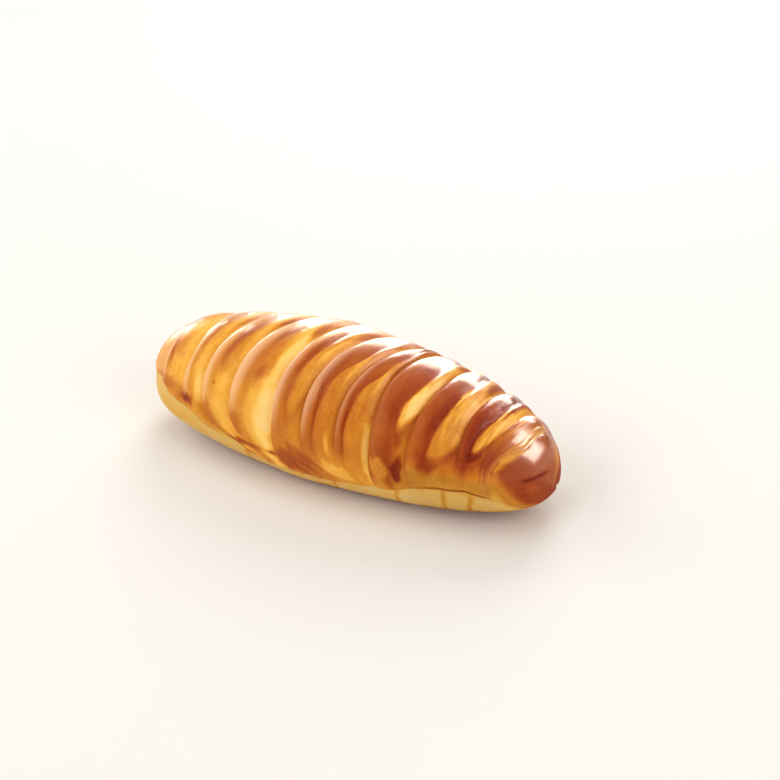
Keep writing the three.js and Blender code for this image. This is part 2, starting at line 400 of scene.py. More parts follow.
@dataclass
class LoafShape:
    """The loaf's form: a plump spindle with a flat underside, and ribs cut into its skin.

    Attributes:
        length: Whole length.
        width: Whole width.
        height: Whole height.
    """

    length: float
    width: float
    height: float

    # The spindle
    widest: float = -0.013
    left: End = End(0.40, 7.5)
    right: End = End(0.35, 5.5)
    taper_power: float = 1.45
    tip_power: float = 0.38
    belt: float = 0.40
    upper_roundness: float = 2.2
    lower_roundness: float = 2.45
    height_power: float = 0.9
    tip_lift: float = 0.026
    base_sink: float = 0.003

    # How the ribs run and where they die out
    back_hold: float = -115.0
    under_return: float = -250.0
    trail_start: float = 70.0
    trail_span: float = 35.0
    trail_power: int = 3
    trail_end: Span = (120.0, 180.0)
    front_span: Span = (0.0, 50.0)
    top_share: float = 0.75
    foot_fade: float = 38.0
    back_foot: float = -100.0

    # The rolls, with the crease behind each and its wandering
    flank: float = 0.0060
    least_crest: float = 0.05
    most_crest: float = 0.8
    lip_power: float = 1.9
    side_span: Span = (8.0, 40.0)
    foot_span: Span = (42.0, 68.0)
    whole_band: float = 0.9
    crease_wander: float = 0.012
    wander_phase: float = 2.4
    slow_wander: float = 8.0
    quick_wander: float = 4.7
    quick_share: float = 0.7
    quick_phase: float = 2.1

    # The humps
    shoulder: float = 0.13
    shoulder_share: float = 0.2
    hump_power: float = 2.2
    plain_power: float = 1.6
    back_hump_foot: float = 84.0
    hump_middle: float = 0.25
    hump_arch: float = 24.0
    hump_soft: float = 9.0
    left_fall: float = 0.3

    # The slanting lower edge of the brown cap on the right end
    cap_level: float = 0.044
    cap_slope: float = 1.75
    cap_station: float = 0.129

    # The seam above the pale base, as stations and angles, level round the left tip
    seam_line: tuple[Span, ...] = (
        (-0.150, 50.0), (-0.139, 62.0), (-0.120, 83.0), (-0.095, 91.0), (-0.060, 100.0), (-0.040, 109.0),
        (0.020, 110.0), (0.057, 105.0), (0.085, 96.0), (0.110, 93.0), (0.125, 100.0), (0.150, 128.0),
    )
    seam_step: float = 0.0009
    left_seam: float = 0.0455
    left_seam_lines: Span = (0.5, 0.95)
    seam_degrees: float = 1200.0
    seam_wander: float = 1.4
    wander_in: Span = (0.15, 0.6)
    wander_out: Span = (12.3, 12.7)
    seam_waves: Waves = Waves(0.020, 60.0, 8)

    # The short level fold on the right end
    fold_level: float = 0.0397
    fold_half: float = 0.0012
    fold_reach: float = 0.022
    fold_depth: float = 0.0008
    fold_in: Span = (0.0, 0.35)
    fold_out: Span = (0.85, 1.1)
    fold_lines: Span = (12.2, 12.4)

    def plan(self, station: np.ndarray) -> np.ndarray:
        """Half-width of the loaf at a station, as a share of the greatest half-width.

        Args:
            station: Places along the loaf.

        Returns:
            Shares from 0 at the tips to 1.
        """
        is_left = station < self.widest
        reach = np.where(is_left, self.length / 2 + self.widest, self.length / 2 - self.widest)
        taper = np.where(is_left, self.left.taper, self.right.taper)
        blunt = np.where(is_left, self.left.blunt, self.right.blunt)
        t = np.clip(np.abs(station - self.widest) / reach, 0.0, 1.0)
        return (1 - taper * t**self.taper_power) * (1 - t**blunt) ** self.tip_power

    def smooth_point(self, station: np.ndarray, angle: np.ndarray) -> np.ndarray:
        """Points of the loaf without its ribs.

        Args:
            station: Places along the loaf.
            angle: Angles round it.

        Returns:
            Points, with x, y and z on the last axis.
        """
        k = np.maximum(self.plan(station), TINY)
        height = self.height * k**self.height_power
        belt = self.tip_lift * (1 - k) + self.belt * height
        cos, sin = np.cos(np.radians(angle)), np.sin(np.radians(angle))
        is_upper = cos >= 0
        power = np.where(is_upper, self.upper_roundness, self.lower_roundness)
        rise = np.where(is_upper, (1 - self.belt) * height, self.belt * height + self.base_sink * k)
        sideways = np.abs(sin) / (self.width / 2 * k)
        upwards = np.abs(cos) / rise
        radius = (sideways**power + upwards**power) ** (-1 / power)
        return np.stack([station + 0 * angle, -radius * sin, belt + radius * cos], axis=-1)

    def outward(
        self, station: np.ndarray, angle: np.ndarray, step: float = 2e-5, turn: float = 0.02
    ) -> np.ndarray:
        """Outward directions of the loaf without its ribs, from two short steps along its skin.

        Args:
            station: Places along the loaf.
            angle: Angles round it.
            step: Length of the step along.
            turn: Angle of the step round.

        Returns:
            Directions of length 1.
        """
        inner = self.length / 2 - step
        a, b = np.clip(station - step, -inner, inner), np.clip(station + step, -inner, inner)
        lengthwise = self.smooth_point(b, angle) - self.smooth_point(a, angle)
        middle = (a + b) / 2
        around = self.smooth_point(middle, angle + turn) - self.smooth_point(middle, angle - turn)
        normal = np.cross(around, lengthwise)
        return normal / np.maximum(np.linalg.norm(normal, axis=-1, keepdims=True), TINY**2)

    def lip_station(self, rib: Rib, angle: np.ndarray) -> np.ndarray:
        """Station of a rib's lip at an angle.

        Args:
            rib: The rib.
            angle: Angles round the loaf.

        Returns:
            Places along the loaf.
        """
        start, span = rib.run.value
        turn = np.mod(start - angle, 360.0)
        hold, end = start - self.back_hold, start - self.under_return
        there = np.minimum(turn / span, 1.0)
        back = 1.0 - np.minimum((turn - hold) / (end - hold), 1.0)
        lean = (1 - np.cos(np.pi * np.where(turn < hold, there, back))) / 2
        trail = np.clip((angle - self.trail_start) / self.trail_span, 0.0, 1.0) ** self.trail_power
        trail = trail * (1 - smoothstep(angle, *self.trail_end))
        return rib.at + rib.lean * lean + rib.sweep * trail

    def fade(self, rib: Rib, angle: np.ndarray) -> np.ndarray:
        """Share of a rib's relief left at an angle: all on the front, less on the top, none at its feet.

        Args:
            rib: The rib.
            angle: Angles round the loaf.

        Returns:
            Shares from 0 to 1.
        """
        front = 1 - smoothstep(angle, rib.foot - self.foot_fade, rib.foot)
        back = smoothstep(angle, self.back_foot, self.back_foot + self.foot_fade)
        side = self.top_share + (1 - self.top_share) * smoothstep(angle, *self.front_span)
        return side * front * back

    def lip_stations(self, angle: np.ndarray) -> np.ndarray:
        """Stations of the left tip, every roll's foot and the right tip, one row each."""
        tip = np.full_like(angle, self.length / 2)
        return np.stack([-tip, *(self.lip_station(rib, angle) for rib in RIBS), tip])

    def groove_depths(self, angle: np.ndarray) -> np.ndarray:
        """Depths of the grooves at the left tip, every roll and the right tip, one row each."""
        none = np.zeros_like(angle)
        return np.stack([none, *(rib.groove * self.fade(rib, angle) for rib in RIBS), none])

    def crease_depths(self, angle: np.ndarray) -> np.ndarray:
        """Depths of the creases in the left end and behind every roll, one row each."""
        none = np.zeros_like(angle)
        return np.stack([none, *(rib.crease * self.fade(rib, angle) for rib in RIBS)])

    def band_edge(self, gap: np.ndarray, angle: np.ndarray) -> np.ndarray:
        """Share of the gap where the roll ends at its wandering crease and the hump begins.

        Args:
            gap: Number of the gap between two lips.
            angle: Angles round the loaf.

        Returns:
            Shares of the gap.
        """
        bands = np.array([NO_HUMP, *(rib.bands for rib in RIBS)])[gap]
        side = smoothstep(np.abs(angle), *self.side_span)
        low = smoothstep(np.abs(angle), *self.foot_span)
        edge = bands[:, 0] + (bands[:, 1] - bands[:, 0]) * side + (bands[:, 2] - bands[:, 1]) * low
        phase = self.wander_phase * gap
        slow = np.sin(angle / self.slow_wander + phase)
        quick = np.sin(angle / self.quick_wander + self.quick_phase * phase)
        wander = self.crease_wander * (slow + self.quick_share * quick)
        return np.where(edge < self.whole_band, edge + wander, edge)

    def crest(self, gap: np.ndarray, angle: np.ndarray) -> np.ndarray:
        """Share of the gap where the roll's steep left flank reaches its crest.

        Args:
            gap: Number of the gap between two lips.
            angle: Angles round the loaf.

        Returns:
            Shares of the gap.
        """
        lips, index = self.lip_stations(angle), np.arange(len(gap))
        width = np.maximum(lips[gap + 1, index] - lips[gap, index], TINY)
        return np.clip(self.flank / width, self.least_crest, self.most_crest * self.band_edge(gap, angle))

    def hump_share(self, skin: Skin, lead: float = 0.0) -> np.ndarray:
        """How much of a vertex belongs to a hump: 1 on it, 0 on a roll or below the hump's rounded foot.

        Args:
            skin: Where each vertex lies.
            lead: How far left of the shoulder it already counts, in shoulders.

        Returns:
            Shares from 0 to 1.
        """
        edge = self.band_edge(skin.gap, skin.angle)
        feet = np.array([0.0, *(rib.hump_foot for rib in RIBS)])[skin.gap]
        feet = np.where(skin.angle < 0, self.back_hump_foot, feet)
        middle = (1 - self.hump_middle) * edge + self.hump_middle
        across = (skin.share - middle) / np.maximum(1 - middle, TINY)
        foot = feet - self.hump_arch * np.clip(across, -1, 1) ** 2
        above = 1 - smoothstep(skin.steep, foot - self.hump_soft, foot + self.hump_soft)
        return above * smoothstep((skin.share - edge) / self.shoulder + lead, 0, 1)

    def relief(self, skin: Skin) -> np.ndarray:
        """Depth of every vertex below the loaf without its ribs.

        Args:
            skin: Where each vertex lies.

        Returns:
            Depths.
        """
        index = np.arange(len(skin.gap))
        grooves = self.groove_depths(skin.angle)
        crease = self.crease_depths(skin.angle)[skin.gap, index]
        before, after = grooves[skin.gap, index], grooves[skin.gap + 1, index]
        u, edge, crest = skin.share, self.band_edge(skin.gap, skin.angle), self.crest(skin.gap, skin.angle)
        climb = (1 - (1 - np.clip(u / crest, 0, 1)) ** self.lip_power) ** (1 / self.lip_power)
        roll = crease * np.clip((u - crest) / (edge - crest), 0, 1) ** 2
        fall = np.clip((u - edge) / (1 - edge), 0, 1)
        plain = crease + (after - crease) * fall**self.plain_power
        swell = fall**self.hump_power
        hump = self.shoulder_share * crease * (1 - swell) + after * swell
        share = self.hump_share(skin)
        behind = plain * (1 - share) + hump * share
        depth = np.where(u < edge, before * (1 - climb) + roll, behind)
        left_end = after * np.clip((u - self.left_fall) / (1 - self.left_fall), 0, 1) ** self.hump_power
        return np.where(skin.gap == 0, left_end, depth)

    def level(self, skin: Skin) -> np.ndarray:
        """Height of every vertex on the loaf without its ribs."""
        return self.smooth_point(skin.station, skin.angle)[:, 2]

    def below_cap(self, skin: Skin) -> np.ndarray:
        """How far a vertex lies under the slanting lower edge of the right end's brown cap."""
        edge = self.cap_level - self.cap_slope * (skin.station - self.cap_station)
        return edge - self.level(skin)

    def fold(self, skin: Skin) -> np.ndarray:
        """How much of a vertex lies in the short level fold across the front of the right end.

        Args:
            skin: Where each vertex lies.

        Returns:
            Shares from 0 to 1.
        """
        out = -self.smooth_point(skin.station, skin.angle)[:, 1] / self.fold_reach
        within = smoothstep(out, *self.fold_in) * (1 - smoothstep(out, *self.fold_out))
        on_end = smoothstep(skin.line, *self.fold_lines)
        return on_end * within * bell(self.level(skin), self.fold_level, self.fold_half)

    def below_seam(self, skin: Skin) -> np.ndarray:
        """How far a vertex lies below the line where the washed crust ends, in degrees.

        Args:
            skin: Where each vertex lies.

        Returns:
            Degrees, below 0 on the crust and above 0 on the pale base.
        """
        around = skin.steep - along(skin.station, self.seam_line)
        level = (self.left_seam - self.level(skin)) * self.seam_degrees
        at_tip = 1 - smoothstep(skin.line, *self.left_seam_lines)
        inner = smoothstep(skin.line, *self.wander_in) * (1 - smoothstep(skin.line, *self.wander_out))
        wander = self.seam_wander * inner * self.seam_waves.at(skin.station, skin.angle)
        return around + (level - around) * at_tip + wander


@dataclass(frozen=True)
class Ground:
    """What the browning and the wash of each vertex share.

    Attributes:
        streak: Fine streaks along the ribs, mostly from -1 to 1.
        cloud: Broad clouds, mostly from -1 to 1.
        warp: Two uneven patterns that make the outlines of patches wander.
        below: Degrees below the line where the washed crust ends.
        bare: How bare of wash it is, from 0 to 1.
    """

    streak: np.ndarray
    cloud: np.ndarray
    warp: tuple[np.ndarray, np.ndarray]
    below: np.ndarray
    bare: np.ndarray


@dataclass
class Bake:
    """How the loaf browned in the oven, from 0, cream, to 1, dark brown.

    Attributes:
        shape: The loaf's form.
    """

    shape: LoafShape

    # Streaks and clouds, which die out at the two tips
    left_tip: Span = (0.2, 1.2)
    right_tip: Span = (11.8, 12.5)
    streaks: Waves = Waves(1 / 11.0, 45.0, 21)
    streak_loss: float = 0.75
    streak_fade: Span = (45.0, 70.0)
    streak_share: float = 0.03
    hump_streak: float = 0.05
    grainy_ribs: Span = (5.0, 8.0)
    clouds: Waves = Waves(1 / 2.2, 26.0, 22)
    cloud_share: float = 0.02

    # Lips, bands and humps: humps on the right have crisper edges
    left_tones: tuple[float, ...] = (0.38, 0.40) * 3
    tone_span: Span = (20.0, 70.0)
    band_span: Span = (0.30, 0.95)
    crispness: tuple[Span, ...] = ((3, 0.0), (4, 0.1), (5, 0.3), (7, 0.45), (8, 0.65))
    blend_before: float = 0.14
    blend_after: float = 0.28
    hump_lead: float = 0.5
    rim: float = 1.1

    # Smooth dough below the ribs: the angle where it starts in each gap, and its browning along the lines
    feet: tuple[float, ...] = (95, 92, 72, 108, 110, 110, 98, 98, 110, 90, 88, 84)
    feet_soft: float = 24.0
    feet_waves: Waves = Waves(1 / 2.5, 40.0, 3)
    feet_wander: float = 5.0
    feet_uneven: float = 0.04
    foot_tones: tuple[Span, ...] = (
        (0.5, 0.54), (1.5, 0.52), (2.5, 0.42), (3.3, 0.56), (3.8, 0.34), (4.2, 0.54), (4.8, 0.18),
        (5.3, 0.50), (6.1, 0.54), (6.6, 0.42), (7.5, 0.45), (8.3, 0.40), (9.3, 0.40), (10.5, 0.41),
        (11.5, 0.43), (12.5, 0.46),
    )
    cap_lines: Span = (11.9, 12.3)
    cap_foot: Span = (-0.006, 0.005)

    # The pale base, which fades in more softly on the right
    seam_streak: float = 1.2
    seam_edge: Span = (-1.0, 1.2)
    right_soft: float = 7.0
    right_lines: Span = (8.5, 10.5)
    cap_bare: Span = (0.008, 0.022)
    base_tone: float = 0.09
    base_cloud: float = 0.07
    base_streak: float = 0.03

    # Straight bars across the base: station at the bar angle, and how far it moves for each degree
    bars: tuple[Span, ...] = (
        (0.0658, -0.00025), (0.0959, -0.00011), (0.1132, -0.00018), (0.0205, -0.00020), (-0.0480, -0.00022),
    )
    bar_angle: float = 100.0
    bar_half: float = 0.0019
    bar_wander: float = 0.0002
    bar_tone: float = 0.46
    bar_strength: float = 0.8

    # The dark crack along the seam, and the underside
    crack_in: Span = (0.066, 0.100)
    crack_out: Span = (0.118, 0.127)
    crack_below: float = -1.0
    crack_half: float = 1.1
    crack_tone: float = 0.95
    crack_strength: float = 0.85
    under_span: Span = (120.0, 132.0)
    under_wander: float = 3.0
    under_tone: float = 0.52
    under_cloud: float = 0.06

    # Painted shade: how far the base, the low right side and the cap's foot are darkened as if in shade, the
    # base partly for its own duller cream; the same tint dulls the tear
    pale_shade: float = 0.68
    pale_drop: float = 0.1
    pale_lines: Span = (2.5, 5.0)
    low_shade: float = 0.9
    low_span: Span = (72.0, 86.0)
    low_lines: Span = (7.8, 9.2)
    cap_shade: float = 0.7
    cap_shade_span: Span = (-0.004, 0.006)
    torn_shade: float = 0.3

    def ground(self, skin: Skin) -> Ground:
        """Works out what the painting shares.

        Args:
            skin: Where each vertex lies.

        Returns:
            The streaks, clouds and outlines, and where the base is bare.
        """
        line, inner = skin.line, self._inner(skin)
        high = 1 - self.streak_loss * smoothstep(skin.steep, *self.streak_fade)
        streak = inner * high * self.streaks.at(line, skin.angle)
        cloud = inner * self.clouds.at(line, skin.angle)
        below = self.shape.below_seam(skin) + self.seam_streak * streak
        soft = 1.0 + self.right_soft * smoothstep(line, *self.right_lines)
        bare = smoothstep(below / soft, *self.seam_edge)
        under_cap = smoothstep(self.shape.below_cap(skin), *self.cap_bare)
        bare = bare + (under_cap - bare) * smoothstep(line, *self.cap_lines)
        return Ground(streak, cloud, skin.warp(), below, bare)

    def browning(self, skin: Skin, ground: Ground) -> np.ndarray:
        """Browning of every vertex: the ribs with their patches, then the pale base and the underside.

        Args:
            skin: Where each vertex lies.
            ground: What the painting shares.

        Returns:
            Numbers mostly from 0 to 1.
        """
        grainy = self.shape.hump_share(skin) * smoothstep(skin.gap, *self.grainy_ribs)
        browning = self._rib_tones(skin) + (self.streak_share + self.hump_streak * grainy) * ground.streak
        browning = self._feet(browning + self.cloud_share * ground.cloud, skin)
        for mark in on_both_sides((*MARKS, TEAR)):
            browning = mark.brush(browning, skin, ground.warp)
        browning = browning + (1.0 - browning) * self.shape.fold(skin)
        browning = self._base(browning, skin, ground)
        under = smoothstep(skin.steep + self.under_wander * ground.cloud, *self.under_span)
        tone = self.under_tone + self.under_cloud * ground.cloud
        return browning + (tone - browning) * under * self._inner(skin)

    def painted_shade(self, skin: Skin, ground: Ground) -> np.ndarray:
        """Painted shade: how far the crust is darkened as if in shade on the base, low down on the right and
        at the cap's foot; the same tint dulls the tear.

        Args:
            skin: Where each vertex lies.
            ground: What the painting shares.

        Returns:
            Shares from 0 to 1.
        """
        low = smoothstep(skin.steep, *self.low_span) * smoothstep(skin.line, *self.low_lines)
        under_cap = self.cap_shade * smoothstep(self.shape.below_cap(skin), *self.cap_shade_span)
        low = low + (under_cap - low) * smoothstep(skin.line, *self.cap_lines)
        pale = self.pale_shade - self.pale_drop * smoothstep(skin.line, *self.pale_lines)
        torn = sum(tear.cover(skin, ground.warp) for tear in on_both_sides((TEAR,)))
        return np.maximum(pale * ground.bare, np.maximum(self.low_shade * low, self.torn_shade * torn))

    def _inner(self, skin: Skin) -> np.ndarray:
        """1 over most of the loaf and 0 at its tips, where the columns run together."""
        return smoothstep(skin.line, *self.left_tip) * (1 - smoothstep(skin.line, *self.right_tip))

    def _rib_tones(self, skin: Skin) -> np.ndarray:
        """Browning of the ribs: a lip, a browner band before the crease and a golden hump behind it.

        Args:
            skin: Where each vertex lies.

        Returns:
            Browning of each vertex.
        """
        u, edge = skin.share, self.shape.band_edge(skin.gap, skin.angle)
        tones = np.array([self.left_tones, *(rib.tones for rib in RIBS)])[skin.gap]
        sink = smoothstep(skin.steep, *self.tone_span)
        lip, band, swollen = (tones[:, k] + (tones[:, k + 1] - tones[:, k]) * sink for k in (0, 2, 4))
        rolled = lip + (band - lip) * smoothstep(u / edge, *self.band_span)
        crisp = along(skin.gap, self.crispness)
        blend = smoothstep(u, edge - self.blend_before, edge + self.blend_after)
        sharp = self.shape.hump_share(skin, self.hump_lead)
        hump = blend + (sharp - blend) * crisp
        browning = rolled + (swollen - rolled) * hump
        return browning + self.rim * crisp * sharp * (1 - sharp) * (skin.gap < len(RIBS) - 1)

    def _feet(self, browning: np.ndarray, skin: Skin) -> np.ndarray:
        """Evens out the browning below the ribs' feet, where the dough is smooth and golden.

        Args:
            browning: Browning of each vertex.
            skin: Where each vertex lies.

        Returns:
            The new browning.
        """
        uneven = self.feet_waves.at(skin.line, skin.angle)
        feet = np.interp(skin.line, np.arange(len(self.feet)) + 0.5, self.feet)
        foot = smoothstep(skin.steep + self.feet_wander * uneven, feet - self.feet_soft, feet)
        under_cap = smoothstep(self.shape.below_cap(skin), *self.cap_foot)
        foot = foot + (under_cap - foot) * smoothstep(skin.line, *self.cap_lines)
        tone = along(skin.line, self.foot_tones) + self.feet_uneven * uneven
        return browning + (tone - browning) * foot

    def _base(self, browning: np.ndarray, skin: Skin, ground: Ground) -> np.ndarray:
        """Lays the pale base with its patches, bars and crack over the browning.

        Args:
            browning: Browning of each vertex.
            skin: Where each vertex lies.
            ground: What the painting shares.

        Returns:
            The new browning.
        """
        base = self.base_tone + self.base_cloud * ground.cloud + self.base_streak * ground.streak
        browning = browning + (base - browning) * ground.bare
        for mark in on_both_sides(BASE_MARKS):
            browning = mark.brush(browning, skin, ground.warp)
        for at, drift in self.bars:
            middle = at + drift * (skin.steep - self.bar_angle)
            bar = bell(skin.station, middle, self.bar_half + self.bar_wander * ground.warp[0])
            browning = browning + (self.bar_tone - browning) * self.bar_strength * bar * ground.bare
        within = smoothstep(skin.station, *self.crack_in) * (1 - smoothstep(skin.station, *self.crack_out))
        crack = bell(ground.below, self.crack_below, self.crack_half) * within
        return browning + (self.crack_tone - browning) * self.crack_strength * crack


@dataclass
class Wash:
    """How the egg wash lies on the loaf: its gloss, and the painted sheen, a pale veil along the lips that
    stands in for their reflection of the bright surround.

    Attributes:
        shape: The loaf's form.
    """

    shape: LoafShape

    # Duller low down, on the front, in the creases and on the back
    low_dull: float = 0.75
    low_span: Span = (45.0, 80.0)
    front_dull: float = 0.7
    front_span: Span = (-8.0, 8.0)
    left_shift: float = 18.0
    left_ribs: Span = (4.0, 6.0)
    crease_dull: float = 0.2
    crease_span: Span = (0.35, 0.85)
    crease_ribs: Span = (5.0, 7.5)
    back_dull: float = 0.55
    back_span: Span = (42.0, 72.0)

    # Thin on the humps, thinner on the right, and none in the folds
    hump_gloss: float = 0.2
    hump_loss: float = 0.12
    thin_humps: Span = (8.5, 10.0)
    hump_lead: float = -0.5
    fold_spread: float = 2.0

    # Thick on the right end and on top of its cap
    end_lines: Span = (10.95, 11.05)
    end_dull: float = 0.6
    end_span: Span = (15.0, 40.0)
    cap_least: float = 0.2
    cap_levels: Span = (0.039, 0.053)

    # The painted sheen, a pale veil standing in for reflection, along the lips of the left ribs and over the
    # left end
    sheen_in: Span = (0.0, 0.04)
    sheen_out: Span = (0.25, 0.85)
    widest_sheen: float = 0.5
    sheen_span: Span = (55.0, 82.0)
    sheen_ribs: Span = (5.0, 8.4)
    end_sheen: float = 0.55
    end_sheen_span: Span = (0.2, 0.9)

    def gloss(self, skin: Skin, ground: Ground) -> np.ndarray:
        """Gloss of every vertex, which the bare base and the folds lack.

        Args:
            skin: Where each vertex lies.
            ground: What the painting shares.

        Returns:
            Shares from 0 to 1.
        """
        washed = (1 - ground.bare) * (1 - self.low_dull * smoothstep(skin.steep, *self.low_span))
        dents = [mark for mark in on_both_sides(MARKS) if mark.dent]
        wide = [replace(mark, reach=self.fold_spread * mark.reach) for mark in dents]
        folded = sum(mark.cover(skin, ground.warp) for mark in wide) + self.shape.fold(skin)
        return washed * self._glaze(skin) * np.clip(1 - folded, 0, 1)

    def painted_sheen(self, skin: Skin, ground: Ground) -> np.ndarray:
        """Painted sheen: a pale veil along the rolls' lips that stands in for their reflection of the bright
        surround, strongest on the left half.

        Args:
            skin: Where each vertex lies.
            ground: What the painting shares.

        Returns:
            Shares from 0 to 1.
        """
        u, edge = skin.share, self.shape.band_edge(skin.gap, skin.angle)
        over = u / np.minimum(edge, self.widest_sheen)
        across = smoothstep(u, *self.sheen_in) * (1 - smoothstep(over, *self.sheen_out))
        around = 1 - smoothstep(skin.steep, *self.sheen_span)
        left = 1 - smoothstep(skin.gap, *self.sheen_ribs)
        end = self.end_sheen * smoothstep(u, *self.end_sheen_span)
        return around * left * np.where(skin.gap > 0, across, end) * (1 - ground.bare)

    def _glaze(self, skin: Skin) -> np.ndarray:
        """How thickly the wash lies: thick on the rolls' tops and the cap, thin on humps and in creases.

        Args:
            skin: Where each vertex lies.

        Returns:
            Shares from 0 to 1.
        """
        shift = self.left_shift * (1 - smoothstep(skin.gap, *self.left_ribs))
        front = smoothstep(skin.angle - shift, *self.front_span)
        crease = smoothstep(skin.share / self.shape.band_edge(skin.gap, skin.angle), *self.crease_span)
        dull = self.front_dull + self.crease_dull * crease * smoothstep(skin.gap, *self.crease_ribs)
        roll = (1 - front * dull) * (1 - self.back_dull * smoothstep(-skin.angle, *self.back_span))
        hump = self.hump_gloss - self.hump_loss * smoothstep(skin.gap, *self.thin_humps)
        glaze = roll + (hump - roll) * self.shape.hump_share(skin, self.hump_lead)
        end = smoothstep(skin.line, *self.end_lines)
        end = end * (1 - self.end_dull * smoothstep(skin.angle, *self.end_span))
        cap = self.cap_least + (1 - self.cap_least) * smoothstep(self.shape.level(skin), *self.cap_levels)
        return np.where(skin.gap == len(RIBS), cap, glaze + (1 - glaze) * end)


@dataclass
class Loaf:
    """The bread itself: one closed mesh, shaped from a sphere and painted with its browning.

    Attributes:
        shape: The loaf's form.
        columns: Vertices round the loaf.
        column_angles: Share of the columns from the top to the underside, and the angle there.
        flank_rows: Rows of faces up a roll's left flank.
        roll_rows: Rows from a roll's crest to its crease.
        shoulder_rows: Rows up the shoulder of the hump.
        hump_rows: Rows over the rest of the hump.
        lump: Height of the broad unevenness of the dough.
        dimple: Height of its small unevenness.
        even_base: Angles where the unevenness dies out towards the underside.
        even_end: Lines where it dies out towards the right end.
        even_share: How much of it dies out there.
        seam_rise: Degrees below the seam where its step starts and ends.
        seam_fade: Degrees below the seam where the step runs out.
    """

    shape: LoafShape
    columns: int = 300
    column_angles: tuple[Span, ...] = ((0, 0), (0.30, 32), (0.60, 72), (0.84, 113), (0.94, 145), (1, 180))
    flank_rows: int = 7
    roll_rows: int = 6
    shoulder_rows: int = 4
    hump_rows: int = 8
    lump: float = 0.0005
    lumps: Waves = Waves(0.035, 360.0 / 7, 11)
    dimple: float = 0.00016
    dimples: Waves = Waves(0.007, 360.0 / 34, 12)
    even_base: Span = (115.0, 135.0)
    even_end: Span = (10.8, 11.4)
    even_share: float = 0.85
    seam_rise: Span = (-1.5, 1.5)
    seam_fade: Span = (8.0, 25.0)

    @property
    def gap_rows(self) -> int:
        """Rows of faces between two lips."""
        return self.flank_rows + self.roll_rows + self.shoulder_rows + self.hump_rows

    @property
    def rings(self) -> int:
        """Rows of faces from tip to tip."""
        return (len(RIBS) + 1) * self.gap_rows

    def build(self) -> bpy.types.Object:
        """Models the loaf.

        Returns:
            The new object, at the origin, with its browning as attributes.
        """
        piece = self._sphere()
        skin = self._skin(piece)
        self._form(piece, skin)
        self._paint(piece, skin)
        bpy.ops.object.shade_smooth()
        return piece

    def _sphere(self) -> bpy.types.Object:
        """Adds a sphere of radius 1 with its poles at the two tips.

        Returns:
            The new object.
        """
        bpy.ops.object.select_all(action="DESELECT")
        bpy.ops.mesh.primitive_uv_sphere_add(
            segments=self.columns, ring_count=self.rings, radius=1.0, rotation=(0, math.pi / 2, 0)
        )
        piece = bpy.context.object
        piece.name = "crust_loaf"
        piece.data.name = "crust_loaf"
        bpy.ops.object.transform_apply(location=True, rotation=True, scale=True)
        return piece

    def _skin(self, piece: bpy.types.Object) -> Skin:
        """Works out where each vertex of the sphere lies on the loaf.

        Args:
            piece: The sphere, of radius 1, with its poles on X.

        Returns:
            The places, one for each vertex.
        """
        points = np.zeros(len(piece.data.vertices) * 3)
        piece.data.vertices.foreach_get("co", points)
        points = points.reshape(-1, 3)
        row = np.rint(np.arccos(np.clip(-points[:, 0], -1, 1)) / math.pi * self.rings).astype(int)
        column = np.rint(np.arctan2(-points[:, 1], points[:, 2]) / math.pi * self.columns / 2)
        side = np.where((row == 0) | (row == self.rings), 0.0, column / (self.columns / 2))
        angle = np.sign(side) * along(np.abs(side), self.column_angles)
        gap = np.minimum(row // self.gap_rows, len(RIBS))
        share = self._spread(gap, row - gap * self.gap_rows, angle)
        lips = self.shape.lip_stations(angle)
        index = np.arange(len(gap))
        station = lips[gap, index] + (lips[gap + 1, index] - lips[gap, index]) * share
        return Skin(gap, share, angle, station)

    def _spread(self, gap: np.ndarray, row: np.ndarray, angle: np.ndarray) -> np.ndarray:
        """Share of its gap at which each row lies: rows follow the crest, the crease and the shoulder.

        Args:
            gap: Number of the gap between two lips.
            row: Number of the row in its gap.
            angle: Angles round the loaf.

        Returns:
            Shares from 0 to 1.
        """
        edge, crest = self.shape.band_edge(gap, angle), self.shape.crest(gap, angle)
        shoulder = np.minimum(edge + self.shape.shoulder, (edge + 1) / 2)
        stops = np.cumsum([0, self.flank_rows, self.roll_rows, self.shoulder_rows, self.hump_rows])
        levels = (np.zeros_like(edge), crest, edge, shoulder, np.ones_like(edge))
        share = np.zeros(len(gap))
        for k, (low, high) in enumerate(zip(levels, levels[1:])):
            part = np.clip((row - stops[k]) / (stops[k + 1] - stops[k]), 0, 1)
            share = share + (high - low) * part
        even = row / self.gap_rows
        return np.where(gap == 0, even**2, np.where(gap == len(RIBS), 1 - (1 - even) ** 2, share))

    def _form(self, piece: bpy.types.Object, skin: Skin) -> None:
        """Moves the sphere's vertices to the loaf's ribbed skin.

        Args:
            piece: The sphere.
            skin: Where each vertex lies.
        """
        shape = self.shape
        below = shape.below_seam(skin)
        step = smoothstep(below, *self.seam_rise) * (1 - smoothstep(below, *self.seam_fade))
        depth = shape.relief(skin) + shape.seam_step * step + shape.fold_depth * shape.fold(skin)
        depth = depth + self._unevenness(skin)
        warp = skin.warp()
        for mark in on_both_sides((*MARKS, TEAR)):
            if mark.dent:
                depth = depth + mark.dent * mark.cover(skin, warp)
        points = shape.smooth_point(skin.station, skin.angle)
        points = points - shape.outward(skin.station, skin.angle) * depth[:, None]
        points[:, 2] = np.maximum(points[:, 2], 0.0)
        piece.data.vertices.foreach_set("co", points.ravel())
        piece.data.update()

    def _unevenness(self, skin: Skin) -> np.ndarray:
        """Depth of the lumps and dimples of the dough, which the underside and the right end lack.

        Args:
            skin: Where each vertex lies.

        Returns:
            Depths.
        """
        even = smoothstep(skin.steep, *self.even_base)
        even = np.maximum(even, self.even_share * smoothstep(skin.line, *self.even_end))
        lumps = self.lump * (1 + self.lumps.at(skin.station, skin.steep)) / 2
        dimples = self.dimple * (1 + self.dimples.at(skin.station, skin.steep)) / 2
        return (1 - even) * (lumps + dimples)

